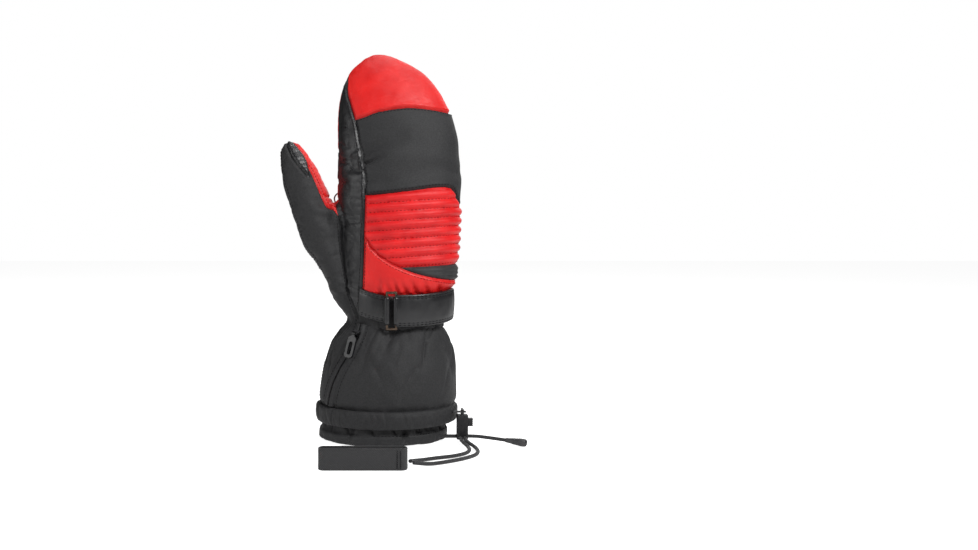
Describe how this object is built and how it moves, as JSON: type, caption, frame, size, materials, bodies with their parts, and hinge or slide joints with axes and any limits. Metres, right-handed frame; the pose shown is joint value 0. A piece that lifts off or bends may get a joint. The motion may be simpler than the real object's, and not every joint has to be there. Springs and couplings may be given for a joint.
{
  "type": "gauntlet ski mitten",
  "caption": "Right-hand gauntlet ski mitten with quilted knuckle panel, leather palm, wrist strap, zipped cuff, snow skirt, cord lock and safety leash.",
  "frame": {"origin": "middle of the cuff's mouth, at the level of its hem", "axes": "+Z towards the fingertips, -Y out of the back of the hand, +Y out of the palm, thumb on the -X side"},
  "size_m": [0.2065, 0.1544, 0.3281],
  "materials": {
    "red_leather": "satin grained leather",
    "red_stretch": "stretch fabric with a slight sheen",
    "black_leather": "glossy soft leather",
    "black_stretch": "matt ribbed stretch fabric",
    "softshell": "matt woven softshell",
    "wadding": "soft wadding",
    "fleece": "brushed fleece",
    "webbing": "woven webbing",
    "elastic_cord": "braided elastic cord",
    "hook_tape": "hook tape",
    "loop_tape": "loop tape",
    "bronze_wire": "dark bronze plating",
    "silver_wire": "polished nickel",
    "black_metal": "black enamel",
    "black_plastic": "moulded plastic",
    "soft_plastic": "soft moulded rubber"
  },
  "bodies": {
    "hand": {"knuckle_quilt": "red_stretch", "back_lower_panel": "red_stretch", "flex_panel": "black_stretch", "palm_band": "black_leather", "palm_leather": "red_leather", "gusset_thumb_side": "black_leather", "gusset_little_finger_side": "black_leather", "hand_padding": "wadding", "hand_lining": "fleece", "thumb_base_back": "softshell", "thumb_base_palm": "red_leather", "thumb_base_padding": "wadding", "cuff_side_panel": "softshell", "cuff_back_panel": "softshell", "cuff_palm_panel": "softshell", "cuff_padding": "wadding", "cuff_lining": "fleece", "hem_roll": "softshell", "snow_skirt": "softshell", "skirt_tunnel": "softshell", "hem_drawcord": "elastic_cord", "strap_tab": "black_leather", "strap_under": "black_leather", "loop_patch": "loop_tape", "wrist_elastic": "webbing", "zip_tape": "webbing", "zip_teeth": "black_plastic", "pull_strap": "webbing", "ring_bar": "black_leather", "cord_lock_body": "black_plastic", "lock_tab": "webbing", "leash_cord_upper": "elastic_cord", "leash_cord_lower": "elastic_cord", "drawcord_tail": "elastic_cord", "cord_end": "soft_plastic", "leash_band": "webbing"},
    "fingers": {"fingertip_panel": "red_leather", "finger_back_panel": "softshell", "finger_band": "black_leather", "finger_palm_leather": "red_leather", "finger_gusset": "black_leather", "finger_padding": "wadding", "finger_lining": "fleece"},
    "thumb": {"thumb_outer_strip": "black_leather", "thumb_back": "softshell", "thumb_tip_patch": "black_leather", "thumb_palm": "red_leather", "thumb_padding": "wadding", "thumb_lining": "fleece"},
    "pole_ring": {"pole_ring": "silver_wire"},
    "strap_ring": {"strap_ring": "bronze_wire"},
    "strap_end": {"strap_flap": "black_leather", "hook_patch": "hook_tape"},
    "zip_slider": {"zip_slider": "black_metal"},
    "zip_puller": {"zip_puller": "soft_plastic"},
    "side_tag": {"side_tag": "red_leather"},
    "lock_button": {"cord_lock_button": "black_plastic"}
  },
  "joints": [
    {"name": "finger_curl", "type": "hinge", "parent": "hand", "child": "fingers", "pos_m": [0.0108, 0.001, 0.19], "axis": [-1, 0, 0], "range_deg": [-8, 40], "stiffness_Nm_per_rad": 0.6},
    {"name": "thumb_bend", "type": "hinge", "parent": "hand", "child": "thumb", "pos_m": [-0.05285, 0.00896, 0.16776], "axis": [-0.9329, 0, -0.36], "range_deg": [-15, 30], "stiffness_Nm_per_rad": 0.25},
    {"name": "pole_ring_swing", "type": "hinge", "parent": "hand", "child": "pole_ring", "pos_m": [-0.03665, 0.0152, 0.20365], "axis": [-0.2637, -0.3683, -0.8915], "range_deg": [-30, 60]},
    {"name": "strap_ring_turn", "type": "hinge", "parent": "hand", "child": "strap_ring", "pos_m": [0.0005, -0.0343, 0.112], "axis": [0, 0, -1], "range_deg": [0, 25]},
    {"name": "strap_peel", "type": "hinge", "parent": "strap_ring", "child": "strap_end", "pos_m": [0.008, -0.0343, 0.112], "axis": [0, 0, -1], "range_deg": [0, 35]},
    {"name": "zip_slide", "type": "slide", "parent": "hand", "child": "zip_slider", "axis": [-0.2999, -0.3636, -0.882], "range_m": [0, 0.008]},
    {"name": "zip_puller_lift", "type": "hinge", "parent": "zip_slider", "child": "zip_puller", "pos_m": [-0.02643, -0.03245, 0.09272], "axis": [-0.8626, 0.4982, 0.0879], "range_deg": [0, 95]},
    {"name": "side_tag_lift", "type": "hinge", "parent": "hand", "child": "side_tag", "pos_m": [0.05122, 0.02517, 0.06104], "axis": [0.6054, -0.6427, -0.4695], "range_deg": [0, 60]},
    {"name": "lock_button_press", "type": "slide", "parent": "hand", "child": "lock_button", "axis": [-1, 0, 0], "range_m": [0, 0.0026], "stiffness_N_per_m": 400, "springref_m": -0.003}
  ]
}
